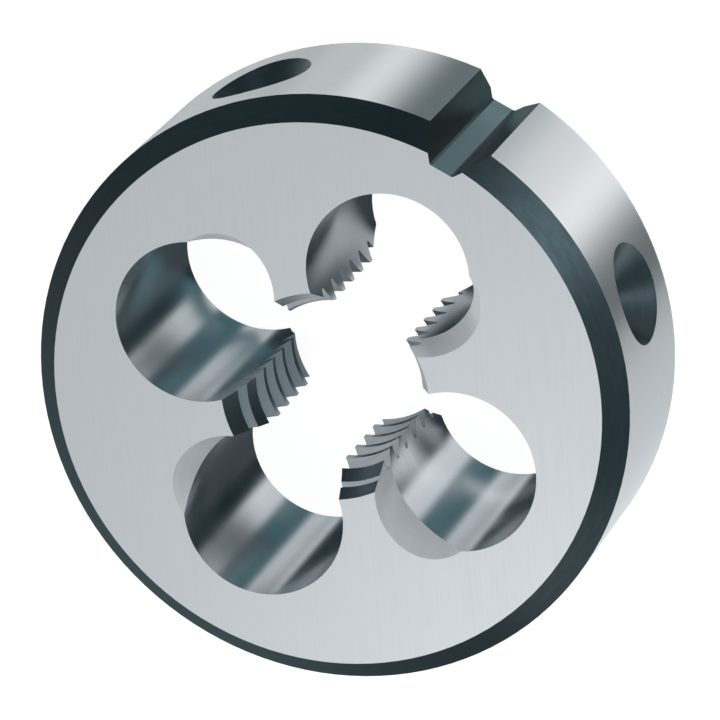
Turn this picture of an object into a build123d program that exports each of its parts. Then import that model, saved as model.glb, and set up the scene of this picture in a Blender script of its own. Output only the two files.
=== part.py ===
from build123d import *
import os
from math import asin, ceil, cos, degrees, radians, sin, sqrt, tan

# Round threading die: a one-piece hardened steel disc that cuts a right-hand
# metric screw thread.
#
# Frame: +Z is the axis of the die.  The back face lies on z = 0 and the entry
# face, where the screw blank goes in, looks up at z = thickness.  +X points at
# the adjusting notch.  Lengths are in millimetres, angles in degrees.

# ---- blank ----
outside_diameter = 30.0
thickness = 11.0
rim_chamfer = 1.1

# ---- thread that the die cuts, M10 x 1.5 ----
thread_diameter = 10.0
thread_pitch = 1.5
flank_angle = 30.0
tooth_height = 0.81
root_flat = 0.19
thread_start = 0.24

# ---- lead-in cone at each end of the thread ----
mouth_clearance = 0.3
lead_length = 2.3

# ---- chip holes, and the lands between them that carry the teeth ----
land_count = 4
land_width = 2.45
chip_hole_diameter = 8.2

# ---- spiral point: a leaning round relief ground into each cutting face ----
relief_diameter = 5.5
relief_reach = 0.62
relief_bearing = 15.0
relief_lean = 30.0
relief_lean_bearing = 29.0
relief_travel = 3.9

# ---- adjusting notch in the rim ----
notch_depth = 1.6
notch_floor_width = 1.25
notch_angle = 70.0
notch_floor_radius = 0.2

# ---- conical seats in the rim for the screws of a die stock ----
seat_count = 4
seat_diameter = 5.5
seat_angle = 90.0
seat_start_angle = 45.0

# ---- worked out from the sizes above ----
outside_radius = outside_diameter / 2
thread_radius = thread_diameter / 2
core_radius = thread_radius - tooth_height
mouth_radius = thread_radius + mouth_clearance
chip_hole_radius = chip_hole_diameter / 2
relief_radius = relief_diameter / 2
notch_floor = outside_radius - notch_depth
land_spacing = 360 / land_count

# Every cutter starts or ends this far outside the steel.
overrun = 3.0

# A chip hole passes through the corners of the lands beside it on the core
# circle, so the width of a land there sets how far out the chip hole stands.
land_angle = 2 * degrees(asin(land_width / 2 / core_radius))
gap_angle = land_spacing - land_angle
corner_reach = core_radius * cos(radians(gap_angle / 2))
corner_side = core_radius * sin(radians(gap_angle / 2))
chip_circle_radius = corner_reach + sqrt(chip_hole_radius**2 - corner_side**2)


# ---- one groove of the thread, just long enough to cross one land ----
# It runs out into the chip holes by a quarter of the gap on each side.
groove_angle = land_angle + gap_angle / 2
groove_inner_radius = core_radius - root_flat
groove_floor_half = root_flat / 2
groove_mouth_half = groove_floor_half + (thread_radius - groove_inner_radius) * tan(radians(flank_angle))

with BuildPart() as thread_groove:
    with BuildLine() as groove_path:
        Helix(thread_pitch, thread_pitch * groove_angle / 360, thread_radius)
    with BuildSketch(Plane.XZ):
        with BuildLine():
            Polyline(
                (groove_inner_radius, -groove_mouth_half),
                (thread_radius, -groove_floor_half),
                (thread_radius, groove_floor_half),
                (groove_inner_radius, groove_mouth_half),
                close=True,
            )
        make_face()
    sweep(path=groove_path.line, is_frenet=True)

# From one land to the next the groove turns by a land spacing and climbs by the
# same share of the pitch, which together make the helix.  thread_start is the
# height at which the helix passes the notch, counted up from the back face.
groove_count = land_count * ceil(thickness / thread_pitch + 1)
groove_start_angle = (land_spacing - groove_angle) / 2
groove_start_height = thread_start + thread_pitch * (groove_start_angle / 360 - 1)
groove_places = []
for step in range(groove_count):
    climb = groove_start_height + step * thread_pitch / land_count
    groove_places.append(Location((0, 0, climb), (0, 0, groove_start_angle + step * land_spacing)))


# ---- planes of the reliefs: each stands above the entry face ----
# Seen from the entry face, a relief lies on the clockwise side of its chip
# hole, where the teeth cut, and leans back across the hole as it goes down.
# Its bearing turns from there towards the axis of the die, and the bearing of
# its lean turns the other way.
relief_offset = chip_hole_radius - relief_radius + relief_reach
relief_planes = []
for hole in range(land_count):
    outward = Vector(1, 0, 0).rotate(Axis.Z, hole * land_spacing)
    clockwise = Vector(0, -1, 0).rotate(Axis.Z, hole * land_spacing)
    entry = (
        outward * (chip_circle_radius - relief_offset * sin(radians(relief_bearing)))
        + clockwise * relief_offset * cos(radians(relief_bearing))
        + Vector(0, 0, thickness)
    )
    lean = outward * sin(radians(relief_lean_bearing)) + clockwise * cos(radians(relief_lean_bearing))
    axis = lean * sin(radians(relief_lean)) + Vector(0, 0, cos(radians(relief_lean)))
    relief_planes.append(Plane(origin=entry + axis * overrun, z_dir=axis))

# ---- planes of the screw seats: each lies on the tip of its cone ----
seat_slope = tan(radians(seat_angle / 2))
seat_depth = seat_diameter / 2 / seat_slope
seat_cone_height = seat_depth + overrun
seat_planes = []
for seat in range(seat_count):
    outward = Vector(1, 0, 0).rotate(Axis.Z, seat_start_angle + seat * 360 / seat_count)
    tip = outward * (outside_radius - seat_depth) + Vector(0, 0, thickness / 2)
    seat_planes.append(Plane(origin=tip, z_dir=outward))


with BuildPart() as die_body:
    # Blank, chamfered at the rim and bored with a lead-in cone at each end.
    with BuildSketch(Plane.XZ):
        with BuildLine():
            Polyline(
                (mouth_radius, 0),
                (outside_radius - rim_chamfer, 0),
                (outside_radius, rim_chamfer),
                (outside_radius, thickness - rim_chamfer),
                (outside_radius - rim_chamfer, thickness),
                (mouth_radius, thickness),
                (core_radius, thickness - lead_length),
                (core_radius, lead_length),
                close=True,
            )
        make_face()
    revolve(axis=Axis.Z)

    # Chip holes, which break into the bore and leave the lands.
    with BuildSketch():
        with PolarLocations(chip_circle_radius, land_count):
            Circle(chip_hole_radius)
    extrude(amount=thickness, mode=Mode.SUBTRACT)

    # Adjusting notch, a flat-bottomed V along the whole rim.
    notch_run = notch_depth + overrun
    notch_mouth_width = notch_floor_width + 2 * notch_run * tan(radians(notch_angle / 2))
    with BuildSketch() as notch_outline:
        with BuildLine():
            Polyline(
                (notch_floor, -notch_floor_width / 2),
                (notch_floor + notch_run, -notch_mouth_width / 2),
                (notch_floor + notch_run, notch_mouth_width / 2),
                (notch_floor, notch_floor_width / 2),
                close=True,
            )
        make_face()
        fillet(notch_outline.vertices().group_by(Axis.X)[0], radius=notch_floor_radius)
    extrude(amount=thickness, mode=Mode.SUBTRACT)

    # Teeth on the lands.
    with Locations(*groove_places):
        add(thread_groove.part, mode=Mode.SUBTRACT)

    # Spiral point.
    with Locations(*relief_planes):
        Cylinder(
            relief_radius,
            relief_travel + overrun,
            align=(Align.CENTER, Align.CENTER, Align.MAX),
            mode=Mode.SUBTRACT,
        )

    # Screw seats.
    with Locations(*seat_planes):
        Cone(
            0,
            seat_cone_height * seat_slope,
            seat_cone_height,
            align=(Align.CENTER, Align.CENTER, Align.MIN),
            mode=Mode.SUBTRACT,
        )


os.makedirs("parts", exist_ok=True)
die_body.part.label = "die_body"
export_step(die_body.part, "parts/die_body.step")
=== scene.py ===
import math
from types import SimpleNamespace

import bmesh
import bpy
import numpy as np
from mathutils import Matrix, Vector


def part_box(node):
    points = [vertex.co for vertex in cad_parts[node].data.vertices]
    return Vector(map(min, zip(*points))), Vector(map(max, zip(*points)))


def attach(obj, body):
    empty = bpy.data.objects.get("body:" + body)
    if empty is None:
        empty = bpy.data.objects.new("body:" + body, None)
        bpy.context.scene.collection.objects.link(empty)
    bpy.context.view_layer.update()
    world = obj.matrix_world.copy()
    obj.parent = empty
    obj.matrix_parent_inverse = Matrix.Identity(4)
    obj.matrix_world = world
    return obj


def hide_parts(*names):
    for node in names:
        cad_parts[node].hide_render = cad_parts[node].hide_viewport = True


# Round threading die, dressed for the eye: ground faces and rim, reamed chip
# holes, cut teeth with darker countersunk mouths, ground spiral points, a milled
# notch floor, and the dark skin that hardening leaves on the rim chamfers, the
# notch walls and the screw seats.

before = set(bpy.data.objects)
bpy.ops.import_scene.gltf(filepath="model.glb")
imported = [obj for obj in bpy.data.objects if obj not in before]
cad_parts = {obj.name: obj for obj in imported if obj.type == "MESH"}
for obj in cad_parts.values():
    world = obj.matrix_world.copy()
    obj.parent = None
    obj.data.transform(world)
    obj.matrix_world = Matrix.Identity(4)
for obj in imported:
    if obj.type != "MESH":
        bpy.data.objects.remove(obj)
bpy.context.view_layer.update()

# ---- sizes of the die, in millimetres; those from the frame are rounded to a micrometre ----
MM = 0.001
lowest, highest = (np.round(np.array(corner) / MM, 3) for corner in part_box("die_body"))
OUTSIDE_RADIUS = -lowest[0]
THICKNESS = highest[2]
RIM_CHAMFER = 1.1
PITCH = 1.5
THREAD_RADIUS = 5.0
THREAD_DEPTH = 0.81
CORE_RADIUS = THREAD_RADIUS - THREAD_DEPTH
FLANK_SLOPE = math.tan(math.radians(30))
MOUTH_STEP = 0.3
MOUTH_RADIUS = THREAD_RADIUS + MOUTH_STEP
LEAD_LENGTH = 2.3
LEAD_SLOPE = (MOUTH_RADIUS - CORE_RADIUS) / LEAD_LENGTH
CHIP_HOLE_RADIUS = 4.1
CHIP_CIRCLE_RADIUS = 7.3
NOTCH_DEPTH = 1.6
NOTCH_FLOOR = OUTSIDE_RADIUS - NOTCH_DEPTH
SEAT_RADIUS = 2.75

# ---- ends of the die: height, and +1 or -1 for the way that end looks ----
ENDS = ((THICKNESS, 1), (0, -1))

# ---- bearings round the axis, counted from the notch; the notch's floor, then its walls ----
CHIP_HOLE_TURNS = np.radians([0, 90, 180, 270])
SEAT_TURNS = np.radians([45, 135, 225, 315])
NOTCH_WALL_TURNS = np.radians([0, 55, -55])

# ---- how far, in millimetres, a corner may be from the surface that it belongs to ----
HIT = 0.03
FINE_HIT = 0.01

# ---- the least cosine between a triangle's own normal and that of its surface ----
STRAY = math.cos(math.radians(20))
ALONG_FLANK = 0.99
ALONG_PLANE = 0.9998

# ---- the most that a triangle's normal may point along the axis, of 1 ----
UPRIGHT = 0.05
LEANING = 0.62

# ---- edges that turn by more than this stay sharp ----
SHARP_EDGE = math.radians(24)

# ---- corners closer together than this, in metres, are one ----
SAME_CORNER = 2e-7

# ---- the least length that anything is divided by ----
TINY = 1e-9

# ---- finishes, in the order of the material slots ----
FACE, RIM, HOLE, SKIN, TEETH, POINT, NOTCH, MOUTH = range(8)


# ---------------------------------------------------------------- the mesh

def merged_copy(node, name):
    """The node's triangles with their shared corners joined, in a new object at the origin."""
    mesh = node.data.copy()
    mesh.name = name
    joined = bmesh.new()
    joined.from_mesh(mesh)
    bmesh.ops.remove_doubles(joined, verts=joined.verts, dist=SAME_CORNER)
    joined.to_mesh(mesh)
    joined.free()
    copy = bpy.data.objects.new(name, mesh)
    bpy.context.scene.collection.objects.link(copy)
    return copy


def unit(v):
    """The vectors, each brought to length 1."""
    return v / np.maximum(np.linalg.norm(v, axis=-1, keepdims=True), TINY)


def tilted(way, rise):
    """Directions that go by `way` in the plane and by `rise` along the axis, as unit vectors."""
    return unit(np.concatenate([way, np.broadcast_to(rise, way.shape[:-1] + (1,))], axis=-1))


def near(values, wanted, within=HIT):
    """Whether all three corners of each triangle have the value that a surface asks for."""
    return np.abs(values - wanted).max(1) < within


def angles(v):
    """Angles of the corners round the origin, without a jump inside one triangle."""
    middle = v.mean(axis=1)
    start = np.arctan2(middle[:, 1], middle[:, 0])[:, None]
    swing = np.arctan2(v[..., 1], v[..., 0]) - start
    return start + (swing + np.pi) % (2 * np.pi) - np.pi


def measured(mesh):
    """The triangles' corners in millimetres, and the measures that the surfaces are known by."""
    order = np.empty(len(mesh.loops), np.int32)
    mesh.loops.foreach_get("vertex_index", order)
    places = np.empty(len(mesh.vertices) * 3, np.float32)
    mesh.vertices.foreach_get("co", places)
    place = places.reshape(-1, 3).astype(float)[order].reshape(-1, 3, 3) / MM
    flat = unit(np.cross(place[:, 1] - place[:, 0], place[:, 2] - place[:, 0]))
    height = place[..., 2]
    reach = np.linalg.norm(place[..., :2], axis=-1)
    turn = angles(place[..., :2])
    return SimpleNamespace(
        place=place,
        height=height,
        reach=reach,
        outward=place[..., :2] / np.maximum(reach, TINY)[..., None],
        middle=place.mean(axis=1),
        flat=flat,
        rise=np.abs(flat[:, 2]),
        round_rim=np.stack([turn * OUTSIDE_RADIUS, height], -1),
        round_bore=np.stack([turn * CORE_RADIUS, height], -1),
        unknown=np.full(place.shape, np.nan),
    )


# Each surface of the die is known by its own equation, which its function's first
# lines give in words. For the measured triangles t, the function says which of
# them lie on the surface, and gives their finish, the exact normals at their
# corners and their flat unrolling, with U along the surface's tool marks.

def ground_faces(t):
    """A corner's height is the height of its end of the die."""
    for level, side in ENDS:
        exact = np.broadcast_to((0.0, 0.0, side), t.place.shape)
        yield near(t.height, level, FINE_HIT), FACE, exact, t.place[..., :2]


def ground_rim(t):
    """A corner is as far from the axis as the rim."""
    yield near(t.reach, OUTSIDE_RADIUS, FINE_HIT), RIM, tilted(t.outward, 0), t.round_rim


def rim_chamfers(t):
    """A corner comes a step nearer the axis for each step nearer the face."""
    for level, side in ENDS:
        cone = OUTSIDE_RADIUS - RIM_CHAMFER + np.abs(t.height - level)
        yield near(t.reach, cone), SKIN, tilted(t.outward, side), t.round_rim


def chip_holes(t):
    """A corner is the hole's radius away from the hole's own axis, and the wall is upright."""
    for turn in CHIP_HOLE_TURNS:
        arm = t.place[..., :2] - CHIP_CIRCLE_RADIUS * np.array([np.cos(turn), np.sin(turn)])
        far = np.linalg.norm(arm, axis=-1)
        on = near(far, CHIP_HOLE_RADIUS) & (t.rise < UPRIGHT)
        yield on, HOLE, tilted(-unit(arm), 0), np.stack([angles(arm) * CHIP_HOLE_RADIUS, t.height], -1)


def screw_seats(t):
    """A right-angled cone: a corner is as far from its axis as it is along it from the tip."""
    for turn in SEAT_TURNS:
        outward = np.array([np.cos(turn), np.sin(turn), 0.0])
        sideways = np.array([-np.sin(turn), np.cos(turn), 0.0])
        arm = t.place - outward * (OUTSIDE_RADIUS - SEAT_RADIUS) - (0, 0, THICKNESS / 2)
        along = arm @ outward
        across = arm - along[..., None] * outward
        wide = np.linalg.norm(across, axis=-1)
        # at the very tip, the way out is that of the triangle's middle
        way = np.where(wide[..., None] < HIT, across.mean(1, keepdims=True), across)
        swing = angles(np.stack([across @ sideways, across[..., 2]], -1))
        uv = np.stack([swing * SEAT_RADIUS / 2, along], -1)
        yield near(wide, along), SKIN, unit(outward - unit(way)), uv


def notch(t):
    """The notch is whatever stands upright and lies as far along X as its floor or farther.

    Its floor and its two flat walls are known by their bearings, and what is left
    is the rounding between them.
    """
    on = (t.middle[:, 0] > NOTCH_FLOOR - HIT) & (t.rise < UPRIGHT)
    along = np.stack([t.height, t.place[..., 1]], -1)
    for turn, slot in zip(NOTCH_WALL_TURNS, (NOTCH, SKIN, SKIN)):
        wall = np.array([np.cos(turn), np.sin(turn), 0.0])
        yield on & (t.flat @ wall > ALONG_PLANE), slot, np.broadcast_to(wall, t.place.shape), along
    yield on, SKIN, t.unknown, along


def lead_ins(t):
    """A corner comes nearer the axis by the slope for each step into the thread from its end."""
    for level, side in ENDS:
        depth = np.abs(t.height - level)
        on = near(t.reach, MOUTH_RADIUS - LEAD_SLOPE * depth) & (depth.max(1) < LEAD_LENGTH + HIT)
        yield on, MOUTH, tilted(-t.outward, side * LEAD_SLOPE), t.round_rim


def thread_flanks(t):
    """A flank climbs by its slope for a step outward, and by the pitch for a turn.

    So its normal leans inward or outward by the slope, and sideways by the pitch
    over the way round.
    """
    sideways = np.stack([-t.outward[..., 1], t.outward[..., 0]], -1)
    up = np.sign(t.flat[:, 2])[:, None, None]
    lean = np.sign((t.flat[:, None, :2] * t.outward).sum(-1, keepdims=True))
    climb = PITCH / (2 * np.pi * np.maximum(t.reach, TINY))[..., None]
    exact = tilted(lean * FLANK_SLOPE * t.outward - up * climb * sideways, up)
    aligned = (exact * t.flat[:, None]).sum(-1).min(1) > ALONG_FLANK
    yield aligned & (t.reach.max(1) < THREAD_RADIUS + 2 * HIT), TEETH, exact, t.round_bore


def points_and_crests(t):
    """A spiral point is steeper than a flank; crests and roots stay at one distance from the axis.

    Whatever is left, such as the slivers between them, is part of the teeth.
    """
    tooth = near(t.reach, CORE_RADIUS) | near(t.reach, THREAD_RADIUS, 2 * HIT)
    yield (t.rise < LEANING) & ~tooth, POINT, t.unknown, t.round_bore
    yield np.ones(len(t.rise), bool), TEETH, t.unknown, t.round_bore


def survey(mesh):
    """Sorts the triangles by the surface of the die that they lie on, the surest surfaces first.

    Where a surface's normal strays from the triangle's own, the triangle only
    crosses that surface, so it stays free for the next one.
    """
    t = measured(mesh)
    finish = np.empty(len(t.place), np.int32)
    normal = t.unknown.copy()
    unrolled = t.round_bore.copy()
    free = np.ones(len(t.place), bool)
    for surface in (ground_faces, ground_rim, rim_chamfers, chip_holes, screw_seats, notch,
                    lead_ins, thread_flanks, points_and_crests):
        for on, slot, exact, uv in surface(t):
            astray = (exact * t.flat[:, None]).sum(-1).min(1) < STRAY
            on = on & free & ~astray
            finish[on] = slot
            normal[on] = exact[on]
            unrolled[on] = uv[on]
            free &= ~on
    return finish, normal, unrolled


def dress(piece):
    """Gives the piece its finishes, its unrolled map and its exact normals."""
    mesh = piece.data
    finish, normal, unrolled = survey(mesh)
    mesh.polygons.foreach_set("material_index", finish)
    mesh.polygons.foreach_set("use_smooth", np.ones(len(mesh.polygons), bool))
    mesh.set_sharp_from_angle(angle=SHARP_EDGE)
    soft = np.empty(len(mesh.loops) * 3, np.float32)
    mesh.corner_normals.foreach_get("vector", soft)
    soft = soft.reshape(-1, 3)
    flat = np.empty(len(mesh.polygons) * 3, np.float32)
    mesh.polygons.foreach_get("normal", flat)
    flat = np.repeat(flat.reshape(-1, 3), 3, axis=0)
    # beside a sliver the averaged normal can stray far from its own triangle's
    astray = (soft * flat).sum(-1, keepdims=True) < STRAY
    exact = normal.reshape(-1, 3)
    blended = np.where(np.isnan(exact), np.where(astray, flat, soft), exact)
    mesh.normals_split_custom_set(blended.tolist())
    layer = mesh.uv_layers.new(name="tool_marks")
    layer.uv.foreach_set("vector", (unrolled.reshape(-1) * MM).astype(np.float32))


# ------------------------------------------------------------ the materials

# ---- a Mix node's two colours going in, and its colour coming out ----
COLOUR_A, COLOUR_B, COLOUR_OUT = 6, 7, 2

# ---- the part of a full turn by which shine is laid across the marks ----
QUARTER = 0.25

# ---- the marks' noise mostly keeps between these ----
NOISE_LOW, NOISE_HIGH = 0.25, 0.75


def linear(code):
    """An sRGB hex colour as linear red, green, blue and full alpha."""
    parts = [int(code[i:i + 2], 16) / 255 for i in (1, 3, 5)]
    return tuple(c / 12.92 if c <= 0.04045 else ((c + 0.055) / 1.055) ** 2.4 for c in parts) + (1.0,)


def add(tree, kind, links=(), **settings):
    """Adds a node. A setting is a property, or in_NAME for a socket; a link is (socket, from socket)."""
    made = tree.nodes.new(kind)
    for key, value in settings.items():
        if key.startswith("in_"):
            made.inputs[key[3:].replace("_", " ")].default_value = value
        else:
            setattr(made, key, value)
    for socket, source in links:
        tree.links.new(source, made.inputs[socket])
    return made


def fresh(name):
    """A new material and its empty node tree."""
    made = bpy.data.materials.new(name)
    made.use_nodes = True
    made.node_tree.nodes.clear()
    return made, made.node_tree


def tool_marked(name, pale, dull, rough, swing, grain, reach, depth,
                turn=0.0, stretch=0.0, across=False, metallic=1.0):
    """Metal with fine parallel tool marks that run along U of its unrolled map.

    grain is the spacing of the marks, reach their length and depth their relief,
    all in millimetres; turn, in degrees, lays them at a slant. The marks shift
    the colour from pale to dull and the roughness by swing. Real marks lie 0.01
    to 0.03 mm apart; they are drawn about 0.1 mm apart, coarser, so that they can
    be seen at all. stretch draws the shine out along the marks, or across them.
    """
    made, tree = fresh(name)
    where = add(tree, "ShaderNodeUVMap", uv_map="tool_marks")
    laid = add(tree, "ShaderNodeMapping", [("Vector", where.outputs["UV"])],
               in_Rotation=(0, 0, math.radians(turn)))
    squeezed = add(tree, "ShaderNodeMapping", [("Vector", laid.outputs["Vector"])],
                   in_Scale=(1 / (reach * MM), 1 / (grain * MM), 1))
    marks = add(tree, "ShaderNodeTexNoise", [("Vector", squeezed.outputs["Vector"])],
                noise_dimensions="2D", in_Scale=1.0, in_Detail=3.0, in_Roughness=0.6)
    tint = add(tree, "ShaderNodeMix", [("Factor", marks.outputs["Fac"])], data_type="RGBA")
    tint.inputs[COLOUR_A].default_value = linear(dull)
    tint.inputs[COLOUR_B].default_value = linear(pale)
    roughness = add(tree, "ShaderNodeMapRange", [("Value", marks.outputs["Fac"])],
                    in_From_Min=NOISE_LOW, in_From_Max=NOISE_HIGH,
                    in_To_Min=rough + swing, in_To_Max=rough - swing)
    bump = add(tree, "ShaderNodeBump", [("Height", marks.outputs["Fac"])],
               in_Strength=1.0, in_Distance=depth * MM)
    metal = add(tree, "ShaderNodeBsdfPrincipled", [
        ("Base Color", tint.outputs[COLOUR_OUT]),
        ("Roughness", roughness.outputs["Result"]),
        ("Normal", bump.outputs["Normal"]),
    ], in_Metallic=metallic)
    if stretch:
        along = add(tree, "ShaderNodeTangent", direction_type="UV_MAP", uv_map="tool_marks")
        tree.links.new(along.outputs["Tangent"], metal.inputs["Tangent"])
        metal.inputs["Anisotropic"].default_value = stretch
        metal.inputs["Anisotropic Rotation"].default_value = QUARTER if across else 0.0
    add(tree, "ShaderNodeOutputMaterial", [("Surface", metal.outputs["BSDF"])])
    return made


FINISHES = {
    # Flat surface grinding: straight silky lines, a satin that shows no picture.
    FACE: tool_marked("surface_ground_tool_steel", "#c9cdd1", "#c4c9cd", rough=0.40, swing=0.03,
                      grain=0.12, reach=6.0, depth=1.4e-4, turn=-30),
    # Cylindrical grinding: lines round the rim, which draw each light out along the axis.
    RIM: tool_marked("cylindrically_ground_tool_steel", "#d6d9dc", "#cdd1d4", rough=0.40, swing=0.02,
                     grain=0.10, reach=5.0, depth=2e-4, stretch=0.92, across=True),
    # Reamed holes: brighter and smoother, with the reamer's fine rings.
    HOLE: tool_marked("reamed_tool_steel", "#c0c6cb", "#b6bdc3", rough=0.24, swing=0.015,
                      grain=0.14, reach=4.0, depth=4e-5, stretch=0.5, across=True),
    # The dark blue-green skin that hardening leaves where no wheel has been.
    SKIN: tool_marked("hardened_tool_steel_skin", "#3a464b", "#2e3a3f", rough=0.36, swing=0.02,
                      grain=0.22, reach=1.2, depth=1.2e-4),
    # Thread teeth: cut and then hardened, so a little darker than what is ground.
    TEETH: tool_marked("cut_thread_tool_steel", "#a8afb4", "#929ba1", rough=0.30, swing=0.03,
                       grain=0.12, reach=2.0, depth=6e-5),
    # Spiral points: fresh open grinding, pale and dull, that scatters light nearly evenly.
    POINT: tool_marked("ground_spiral_point_steel", "#dfe3e6", "#d5d9dc", rough=0.40, swing=0.02,
                       grain=0.12, reach=3.0, depth=3e-5, metallic=0.5),
    # The milled notch floor: plain satin, a grey between the bright and the dark parts.
    NOTCH: tool_marked("milled_tool_steel", "#a4b0b5", "#98a5aa", rough=0.34, swing=0.02,
                       grain=0.15, reach=4.0, depth=5e-5),
    # The countersunk mouths of the thread: a smooth, darker blue-grey that frames the teeth.
    MOUTH: tool_marked("countersunk_tool_steel", "#6a777c", "#5c696e", rough=0.30, swing=0.02,
                       grain=0.12, reach=3.0, depth=5e-5),
}

die = merged_copy(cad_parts["die_body"], "die")
die.data.materials.clear()
for slot in sorted(FINISHES):
    die.data.materials.append(FINISHES[slot])
dress(die)
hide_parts("die_body")
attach(die, "root")

# ------------------------------------------------------------------ the set

def toward(azimuth, elevation):
    """The unit direction at those degrees round the axis and above level."""
    a, e = math.radians(azimuth), math.radians(elevation)
    return Vector((math.cos(a) * math.cos(e), math.sin(a) * math.cos(e), math.sin(e)))


# The main view, in millimetres and degrees: the camera stands at VIEW_DISTANCE
# from VIEW_AIM in the direction MAIN_VIEW, looks back at it, and is rolled about
# its own line of sight.
MAIN_VIEW = toward(-13.245, 64.062)
VIEW_AIM = Vector((0.07, -0.095, THICKNESS / 2))
VIEW_DISTANCE = 295.72
VIEW_ROLL = math.radians(-138.045)
LENS, SENSOR = 300.0, 36.0

# nearest and farthest that the camera sees, in metres
NEAREST, FARTHEST = 0.01, 20.0

# Floor: white to the eye, with the die's own shadow left in it. The die's shine
# looks past it (visible_glossy is off) to the white world and to the cards that
# hang below, because the upright walls of the die mirror only what is down there.
# FLOOR_REACH is in metres each way, and FLOOR_GLOW is a little under the world's 1.
FLOOR_REACH = 3.0
FLOOR_GLOW = 0.93
floor_mesh = bpy.data.meshes.new("floor")
floor_corners = [(x * FLOOR_REACH, y * FLOOR_REACH, 0) for x, y in ((-1, -1), (1, -1), (1, 1), (-1, 1))]
floor_mesh.from_pydata(floor_corners, [], [(0, 1, 2, 3)])
floor = bpy.data.objects.new("floor", floor_mesh)
bpy.context.scene.collection.objects.link(floor)
pale, tree = fresh("pale_floor")
seen = add(tree, "ShaderNodeLightPath")
eye_or_shine = add(tree, "ShaderNodeMath",
                   [(0, seen.outputs["Is Camera Ray"]), (1, seen.outputs["Is Glossy Ray"])],
                   operation="ADD")
looked_at = add(tree, "ShaderNodeMath",
                [(0, eye_or_shine.outputs[0]), (1, seen.outputs["Is Transmission Ray"])],
                operation="ADD", use_clamp=True)
paper = add(tree, "ShaderNodeBsdfDiffuse", in_Color=linear("#f2f2f2"))
faint = add(tree, "ShaderNodeBsdfDiffuse", in_Color=linear("#7c7c7c"))
glow = add(tree, "ShaderNodeEmission", in_Color=linear("#ffffff"), in_Strength=FLOOR_GLOW)
both = add(tree, "ShaderNodeAddShader", [(0, glow.outputs[0]), (1, faint.outputs[0])])
choice = add(tree, "ShaderNodeMixShader",
             [(0, looked_at.outputs[0]), (1, paper.outputs[0]), (2, both.outputs[0])])
add(tree, "ShaderNodeOutputMaterial", [("Surface", choice.outputs[0])])
floor.data.materials.append(pale)
floor.visible_glossy = False

# World: plain white on every side, the background and what bare metal mirrors.
world = bpy.data.worlds.new("white_studio")
bpy.context.scene.world = world
world.use_nodes = True
world.node_tree.nodes.clear()
white = add(world.node_tree, "ShaderNodeBackground", in_Color=linear("#ffffff"), in_Strength=1.0)
add(world.node_tree, "ShaderNodeOutputWorld", [("Surface", white.outputs[0])])

# Cards and cloths: large curved sheets far from the die, seen only in its shine,
# as a studio sets them round bare metal. Each is fixed in the room, where a facet
# of the die that faces BEARING (degrees round the axis) and looks up by RISE (0
# upright, 1 level) would mirror it toward MAIN_VIEW, and thins out to nothing
# along its edges. They were placed for that view; from other sides they make
# other streaks. CARD_DISTANCE is in metres. CARD_GRID counts the points along the
# bearing and the rise, and SOFT_EDGE is the edge's width in degrees and in rise.
CARD_DISTANCE = 1.5
CARD_GRID = (49, 13)
SOFT_EDGE = (4.5, 0.05)

# name: colour and strength, where 1 is the colour as written
STOCKS = {
    "black_card": ("#10282e", 1.0),
    "dove_card": ("#55787e", 1.0),
    "mist_card": ("#8ba3a6", 1.0),
    "grey_card": ("#c8cbcd", 1.0),
    "ceiling_card": ("#e0e1e2", 1.0),
    "lit_paper": ("#ffffff", 1.6),
    "lit_cloth": ("#ffffff", 2.4),
    "bright_cloth": ("#ffffff", 3.5),
}

# name, stock, bearing from and to, rise from and to
CARDS = [
    ("ceiling", "ceiling_card", -200, 200, 0.90, 1.06),
    ("front_sky", "dove_card", -68, -12, 0.80, 0.93),
    ("low_front", "black_card", -130, -28, -0.25, 0.16),
    ("low_right", "dove_card", -12, 16, -0.25, 0.16),
    ("low_back", "grey_card", 15, 34, -0.25, 0.16),
    ("low_left", "black_card", 33, 66, -0.25, 0.30),
    ("front_skirt", "grey_card", -130, -52, 0.10, 0.34),
    ("front_cloth", "lit_cloth", -115, -52, 0.34, 0.62),
    ("front_post", "black_card", -49.5, -30.5, 0.10, 0.72),
    ("front_strip", "lit_paper", -30, -20, 0.05, 0.46),
    ("right_post", "black_card", 0, 17, 0.10, 0.72),
    ("right_cloth", "bright_cloth", -36, -12, 0.66, 0.79),
    ("back_strip", "lit_cloth", 16, 25.5, 0.05, 0.46),
    ("back_cloth", "lit_cloth", 34, 66, 0.34, 0.58),
    ("back_wall", "dove_card", -10, 118, 0.60, 0.84),
    ("left_wall", "mist_card", 112, 208, 0.53, 0.84),
    ("front_wall", "dove_card", 202, 253, 0.58, 0.84),
    ("front_corner", "mist_card", 277, 308, 0.60, 0.84),
]

# Slips just under the die. Each glows at its stock's level and is seen only in the shine of one chip
# hole's wall or of the notch.
# They are painted shade, and the lit_paper one is a painted patch of light. They stand in for the floor
# in the die's own shade, which that shine does not see.
# They too were placed for the main view. Their sizes are in millimetres, and SLIP_GRID counts the points
# each way.
SLIP_LEVEL = -0.4
SLIP_GRID = 21
SLIP_EDGE = 0.4

# name, stock, middle along X and Y, half size along X and Y
SHADE_AND_LIGHT_SLIPS = [
    ("slip_right", "grey_card", 4.6, 0.2, 0.9, 2.2),
    ("slip_left", "dove_card", -3.0, 7.9, 0.7, 1.8),
    ("shade_slip_back_hole", "black_card", 0.6, 6.9, 1.6, 1.7),
    ("shade_slip_left_hole", "black_card", -6.9, -0.8, 1.9, 1.8),
    ("light_slip_front_hole", "lit_paper", -2.0, -8.2, 0.75, 1.3),
    ("slip_front_wall", "grey_card", -2.6, -5.8, 0.5, 0.6),
    ("slip_notch", "mist_card", 14.0, -0.2, 1.1, 1.8),
]


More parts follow.
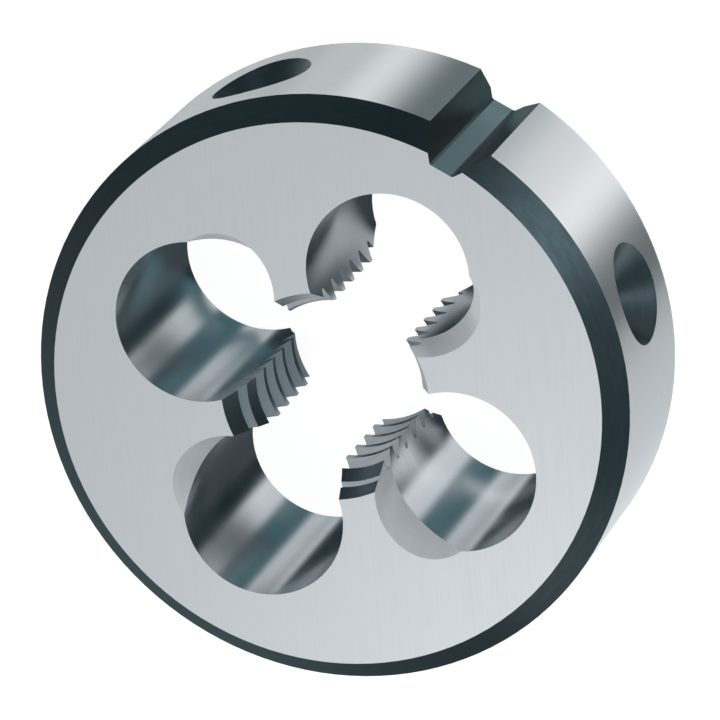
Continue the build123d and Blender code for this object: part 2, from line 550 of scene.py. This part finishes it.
def shine_stock(name, colour, strength):
    """A glowing sheet that is as solid as the attribute `thickness` says."""
    tree = fresh(name)[1]
    lit = add(tree, "ShaderNodeEmission", in_Color=linear(colour), in_Strength=strength)
    gap = add(tree, "ShaderNodeBsdfTransparent")
    thickness = add(tree, "ShaderNodeAttribute", attribute_name="thickness")
    sheet = add(tree, "ShaderNodeMixShader",
                [(0, thickness.outputs["Fac"]), (1, gap.outputs[0]), (2, lit.outputs[0])])
    add(tree, "ShaderNodeOutputMaterial", [("Surface", sheet.outputs[0])])


def sheet_of(name, stock, places, solid):
    """A card from a grid of places, with how solid it is at each of them."""
    rows, columns = solid.shape
    start = (np.arange(rows - 1)[:, None] * columns + np.arange(columns - 1)).ravel()
    squares = np.stack([start, start + 1, start + columns + 1, start + columns], -1)
    sheet = bpy.data.meshes.new(name)
    sheet.from_pydata(places.reshape(-1, 3).tolist(), [], squares.tolist())
    thickness = sheet.attributes.new("thickness", "FLOAT", "POINT")
    thickness.data.foreach_set("value", solid.ravel().astype(np.float32))
    sheet.materials.append(bpy.data.materials[stock])
    card = bpy.data.objects.new(name, sheet)
    card.visible_camera = card.visible_diffuse = card.visible_transmission = card.visible_shadow = False
    bpy.context.scene.collection.objects.link(card)


def hang(name, stock, bearing_from, bearing_to, rise_from, rise_to):
    """A curved sheet in the directions 2 (h . v) h - v, with h the facet and v the main view.

    How solid it is grows from 0 at an edge to 1 over SOFT_EDGE (degrees, rise).
    """
    bearing, rise = np.meshgrid(np.linspace(bearing_from, bearing_to, CARD_GRID[0]),
                                np.linspace(rise_from, rise_to, CARD_GRID[1]))
    inside = np.minimum(np.minimum(bearing - bearing_from, bearing_to - bearing) / SOFT_EDGE[0],
                        np.minimum(rise - rise_from, rise_to - rise) / SOFT_EDGE[1])
    turn, rise = np.radians(bearing), rise.clip(-1, 1)
    level = np.sqrt(1 - rise ** 2)
    facet = np.stack([level * np.cos(turn), level * np.sin(turn), rise], -1)
    view = np.array(MAIN_VIEW)
    mirrored = 2 * (facet @ view)[..., None] * facet - view
    sheet_of(name, stock, mirrored * CARD_DISTANCE, inside.clip(0, 1))


def lay(name, stock, x, y, half_x, half_y):
    """A flat slip of painted shade or light under the die that thins out to nothing over SLIP_EDGE."""
    across, along = np.meshgrid(np.linspace(-half_x, half_x, SLIP_GRID),
                                np.linspace(-half_y, half_y, SLIP_GRID))
    inside = np.minimum(half_x - np.abs(across), half_y - np.abs(along)) / SLIP_EDGE
    places = np.stack([x + across, y + along, np.full(across.shape, SLIP_LEVEL)], -1)
    sheet_of(name, stock, places * MM, inside.clip(0, 1))


for stock, (colour, strength) in STOCKS.items():
    shine_stock(stock, colour, strength)
for card in CARDS:
    hang(*card)
for slip in SHADE_AND_LIGHT_SLIPS:
    lay(*slip)

# Soft boxes, in degrees and millimetres from the middle of the top face.
# name; bearing, elevation and distance; the bearing in which the lamp is set
# aside, how far, and how far its aim is; side; radiance
LAMPS = [
    ("key_box", (-32, 25, 250), (0, 0, 0), 100, 2.0),
    ("face_box", (167, 64, 90), (250, 35, 10), 50, 1.0),
]


def soft_box(name, direction, aside, side, radiance):
    """A square area lamp; its power is its radiance times its area times pi."""
    bearing, elevation, distance = direction
    aside_bearing, lamp_aside, aim_aside = aside
    top_face = Vector((0, 0, THICKNESS))
    place = top_face + toward(bearing, elevation) * distance + toward(aside_bearing, 0) * lamp_aside
    aim = top_face + toward(aside_bearing, 0) * aim_aside
    lamp = bpy.data.lights.new(name, "AREA")
    lamp.shape = "SQUARE"
    lamp.size = side * MM
    lamp.energy = radiance * (side * MM) ** 2 * math.pi
    box = bpy.data.objects.new(name, lamp)
    box.location = place * MM
    box.rotation_euler = (aim - place).to_track_quat("-Z", "Y").to_euler()
    box.visible_camera = False
    bpy.context.scene.collection.objects.link(box)


for lamp in LAMPS:
    soft_box(*lamp)

# --------------------------------------------------------------- the camera

lens = bpy.data.cameras.new("camera")
lens.lens, lens.sensor_width = LENS, SENSOR
lens.clip_start, lens.clip_end = NEAREST, FARTHEST
camera = bpy.data.objects.new("camera", lens)
level = Vector((0, 0, 1)).cross(MAIN_VIEW).normalized()
right = level * math.cos(VIEW_ROLL) + MAIN_VIEW.cross(level) * math.sin(VIEW_ROLL)
facing = Matrix((right, MAIN_VIEW.cross(right), MAIN_VIEW)).transposed().to_4x4()
camera.matrix_world = Matrix.Translation((VIEW_AIM + MAIN_VIEW * VIEW_DISTANCE) * MM) @ facing
bpy.context.scene.collection.objects.link(camera)
bpy.context.scene.camera = camera

bpy.context.scene.view_settings.view_transform = "Standard"
